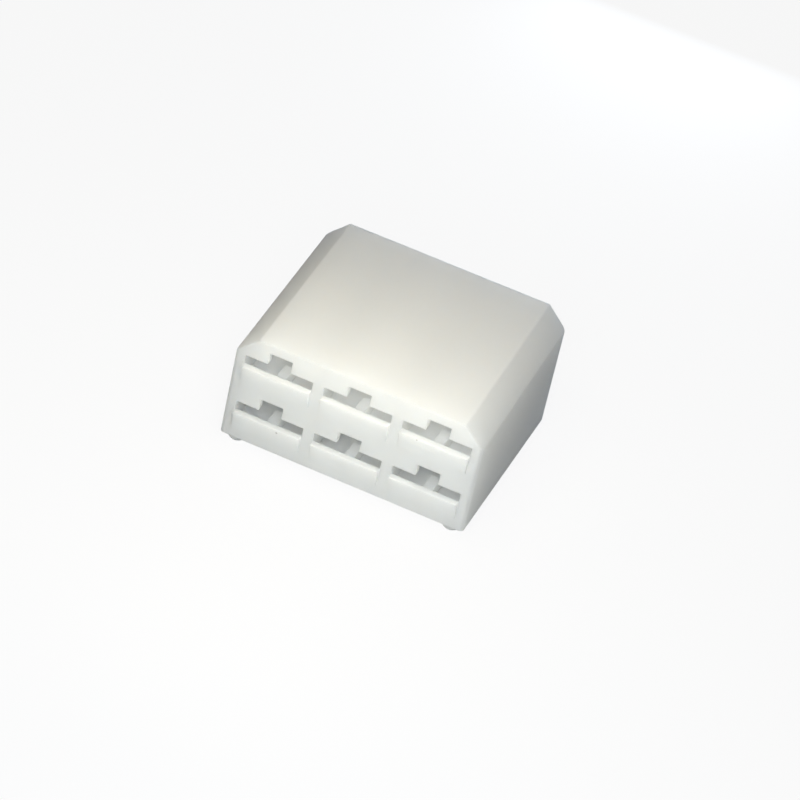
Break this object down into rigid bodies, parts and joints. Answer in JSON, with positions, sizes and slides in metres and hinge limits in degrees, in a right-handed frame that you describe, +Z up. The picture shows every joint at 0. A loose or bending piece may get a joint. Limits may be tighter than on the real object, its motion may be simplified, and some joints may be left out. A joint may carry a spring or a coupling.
{
  "type": "wire to board connector housing",
  "caption": "Moulded block that joins crimped wires to flat board tabs, with open cavities, notched tab slots over lead-in lips, a sloping roof with cut edges and small round feet.",
  "frame": {"origin": "under the middle of the part, on the plane of the feet's flat ends", "axes": "+X along the rows of circuits, to the right when the mating side is looked at; +Y from the mating side to the wire side; +Z up"},
  "size_m": [0.024, 0.0204, 0.013],
  "materials": {
    "natural_polyamide": "natural polyamide as moulded, milky and slightly translucent, satin"
  },
  "bodies": {
    "root": {"connector_housing": "natural_polyamide"}
  },
  "joints": []
}
